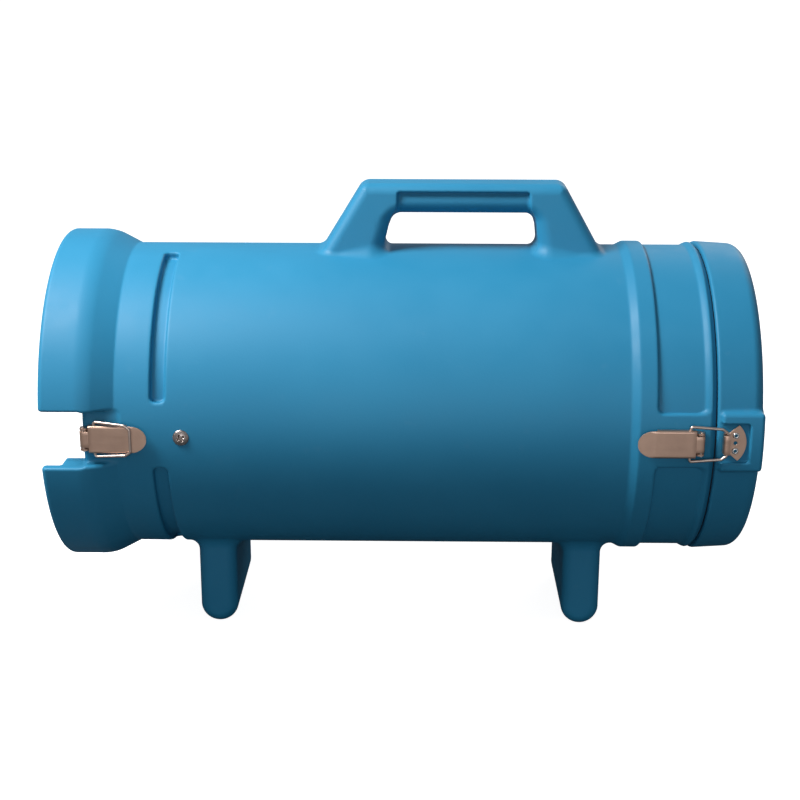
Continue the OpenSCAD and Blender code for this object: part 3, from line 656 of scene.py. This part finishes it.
def bail_mesh(fold_angle):
    """The wire bail, about the hinge pin, turned on its own pivot by an angle in degrees."""
    path = [(0, 10.6, 0), (0, 14.9, 0), (25.5, 12.9, 0), (BAIL_REACH, 9.8, 0),
            (BAIL_REACH, -9.8, 0), (25.5, -12.9, 0), (0, -14.9, 0), (0, -10.6, 0)]
    mesh = tube_mesh(path, 1.2, 2.6)
    place = Matrix.Translation((BAIL_U, 0, PIN_H + BAIL_N)) @ Matrix.Rotation(
        math.radians(fold_angle), 4, "Y")
    mesh.transform(place)
    return mesh


for side, which in ((-1, "near"), (1, "far")):
    for left, end in ((True, "left"), (False, "right")):
        station, seat = (LEFT_HINGE, LEFT_SEAT) if left else (RIGHT_HINGE, RIGHT_SEAT)
        place = place_at(station, seat, side, turned=not left)
        lever = lever_mesh()
        lever.transform(Matrix.Translation((0, 0, PIN_H)))
        settle(made(f"lever_sheet_{which}_{end}", lever, place), f"{which}_{end}_lever",
               "satin_stainless", f"lever_{which}_{end}")
        bail = bail_mesh(LEFT_BAIL_REST if left else RIGHT_BAIL_REST)
        wire = made(f"bail_wire_{which}_{end}", bail, place)
        settle(wire, f"{which}_{end}_bail", "satin_stainless", f"bail_{which}_{end}")
        wire.data.materials[0] = WIRE

# Keepers on the cap, with their eyelet rivets
KEEPER = RIGHT_HINGE + BAIL_REACH - BAIL_U
KEEPER_GAP = 0.1
EYELET_U, EYELET_Y = 7.3, 6.6
for side, which in ((-1, "near"), (1, "far")):
    place = place_at(KEEPER, RIGHT_SEAT, side)
    arc = [(-4.8 + 21.1 * math.cos(math.radians(a)), 21.1 * math.sin(math.radians(a)))
           for a in range(-45, 46, 5)]
    outline = [(-2.6, -8.2), (2, -8.2), (2.4, -9), (9.5, -15.1), *arc, (9.5, 15.1), (2.4, 9),
               (2, 8.2), (-2.6, 8.2)]
    holes = [circle(EYELET_U, y, 1.7) for y in (-EYELET_Y, EYELET_Y)] + [circle(EYELET_U, 0, 1.6)]
    blade = flat_plate([outline, *holes], KEEPER_GAP, GAUGE)
    hook = [(-1.4, 0.7), (-2.2, 0.75), (-2.65, 1.2), (-2.7, 2), (-2.7, 6.4), (-2.5, 7.3),
            (-1.8, 7.8), (-1, 7.85), (1.9, 7.85)]
    curl = sheet_metal([[(u, y, z) for y in (-8.2, -4, 0, 4, 8.2)] for u, z in hook], 1.0)
    settle(made(f"keeper_plate_{which}", merged(blade, curl), place), "end_cap",
           "satin_stainless", f"keeper_{which}")

eyelet = [(1.15, -7), (1.15, 0.7), (1.3, 1.15), (1.7, 1.3), (2.3, 1.1), (2.7, 0.55), (2.75, 0),
          (1.6, 0), (1.6, -7), (1.15, -7)]
rivets = []
for side in (-1, 1):
    for y in (-EYELET_Y, EYELET_Y):
        ring = lathe(eyelet)
        ring.transform(place_at(KEEPER, RIGHT_SEAT, side)
                       @ Matrix.Translation((EYELET_U, y, KEEPER_GAP + GAUGE)))
        rivets.append(ring)
settle(made("keeper_eyelets", merged(*rivets), Matrix()), "end_cap", "bright_rivet_steel",
       "keeper_rivets")


def screw_sdf(x, y, z):
    """A pan head with a cross recess, about z, in mm."""
    r = np.hypot(x, y)
    head = both(np.sqrt(r * r + (z + 7.6) ** 2) - 10.5, r - 7, 0.6)
    head = both(head, 0.1 - z, 0.2)
    shank = np.maximum(np.maximum(r - 2.5, z - 1), -12 - z)
    body = np.minimum(head, shank)
    wing = 0.55 + 0.22 * (z - 0.6)
    cross = np.minimum(np.maximum(np.abs(x) - wing, np.abs(y) - 2.7 - 0.5 * (z - 1)),
                       np.maximum(np.abs(y) - wing, np.abs(x) - 2.7 - 0.5 * (z - 1)))
    cross = np.minimum(cross, r - 1.35)
    return cut(body, np.maximum(cross, 0.5 - z), 0.18)


screws = []
for side in (-1, 1):
    head = carve("screw", screw_sdf, (-8, -8, -13), (8, 8, 4), 0.22, 0.3)
    mesh = head.data
    mesh.transform(Matrix.Scale(1 / MM, 4) @ Matrix.Translation(Vector((-RIM_X, 0, -AXIS_Z)) * MM))
    mesh.transform(place_at(CRADLE_SCREW, BARREL_R, side) @ Matrix.Rotation(0.5, 4, "Z"))
    screws.append(mesh)
    bpy.data.objects.remove(head)
screw_piece = made("cradle_screw_heads", merged(*screws), Matrix())
settle(screw_piece, "barrel", "screw_steel", "cradle_screws")

# ---- Stage: pale floor, soft lights, camera ----


def stage_piece(name, mesh, tint, glow):
    """A matt surface of the stage, with a glow of its own."""
    piece = bpy.data.objects.new(name, mesh)
    bpy.context.collection.objects.link(piece)
    mat = bpy.data.materials.new(name)
    mat.use_nodes = True
    shader = mat.node_tree.nodes["Principled BSDF"]
    shader.inputs["Base Color"].default_value = (*tint, 1)
    shader.inputs["Roughness"].default_value = 0.9
    shader.inputs["Specular IOR Level"].default_value = 0.1
    shader.inputs["Emission Color"].default_value = (1, 1, 1, 1)
    shader.inputs["Emission Strength"].default_value = glow
    mesh.materials.append(mat)
    return piece


def stage_plane(name, height, tint, glow, hole=(0, 0)):
    """A wide flat plane, with a rectangle left out of it under the object if asked."""
    mesh = bpy.data.meshes.new(name)
    outer = [(-30, -30), (30, -30), (30, 30), (-30, 30)]
    inner = [(x * hole[0], y * hole[1]) for x, y in ((-1, -1), (1, -1), (1, 1), (-1, 1))]
    faces = [(k, (k + 1) % 4, (k + 1) % 4 + 4, k + 4) for k in range(4)]
    mesh.from_pydata([(x, y, height) for x, y in outer + inner], [],
                     faces if hole[0] else [(0, 1, 2, 3)])
    return stage_piece(name, mesh, tint, glow)


# The floor that the camera sees throws no light back, so the barrel's underside stays dark
floor = stage_plane("floor", 0, (0.5, 0.5, 0.5), 0.93)
floor.visible_diffuse = floor.visible_glossy = floor.visible_transmission = False
floor.visible_shadow = False
sheen = stage_plane("floor_sheen", -0.0003, (0, 0, 0), 0.28, (0.6, 0.36))
sheen.visible_camera = sheen.visible_diffuse = sheen.visible_shadow = False
stage_plane("floor_bounce", -0.0006, (0.065, 0.07, 0.075), 0)
# A pale backdrop all round, which only the camera sees
dome_form = bmesh.new()
bmesh.ops.create_uvsphere(dome_form, u_segments=32, v_segments=16, radius=28)
dome_mesh = bpy.data.meshes.new("backdrop")
dome_form.to_mesh(dome_mesh)
backdrop = stage_piece("backdrop", dome_mesh, (0, 0, 0), 1)
backdrop.visible_diffuse = backdrop.visible_glossy = backdrop.visible_transmission = False
backdrop.visible_shadow = False


def area_light(name, at, towards, size, power, tint=(1, 1, 1)):
    lamp = bpy.data.lights.new(name, "AREA")
    lamp.shape, lamp.size, lamp.energy, lamp.color = "DISK", size, power, tint
    holder = bpy.data.objects.new(name, lamp)
    holder.location = at
    holder.rotation_euler = (Vector(towards) - Vector(at)).to_track_quat("-Z", "Y").to_euler()
    bpy.context.collection.objects.link(holder)


area_light("key", (-0.93, -0.42, 1.48), (-0.02, -0.02, 0.22), 0.75, 44)
area_light("front_card", (0, -2.6, 0.42), (0, 0, 0.2), 1.8, 14, (0.90, 0.94, 0.99))
area_light("back_fill", (0.9, 1.3, 1.0), (0, 0, 0.2), 1.0, 5)

world = bpy.data.worlds.new("studio")
bpy.context.scene.world = world
world.use_nodes = True
world.node_tree.nodes["Background"].inputs["Color"].default_value = (0.95, 0.99, 1.05, 1)
world.node_tree.nodes["Background"].inputs["Strength"].default_value = 0.31
bpy.context.scene.view_settings.view_transform = "Standard"

# The camera was fitted to points and outlines in the photograph
YAW, PITCH, ROLL = -0.0131, 0.29583, 0.00234
CAMERA_AT, LENS = (0.0139, -1.2839, 0.5840), 66.74
look = Vector((math.sin(YAW) * math.cos(PITCH), math.cos(YAW) * math.cos(PITCH),
               -math.sin(PITCH)))
level = Vector((math.cos(YAW), -math.sin(YAW), 0))
upright = level.cross(look)
across_view = level * math.cos(ROLL) + upright * math.sin(ROLL)
up_view = upright * math.cos(ROLL) - level * math.sin(ROLL)
camera = bpy.data.objects.new("camera", bpy.data.cameras.new("camera"))
camera.data.lens = LENS
camera.data.sensor_width = 36
turn = Matrix((across_view, up_view, -look)).transposed().to_4x4()
camera.matrix_world = Matrix.Translation(CAMERA_AT) @ turn
bpy.context.collection.objects.link(camera)
bpy.context.scene.camera = camera
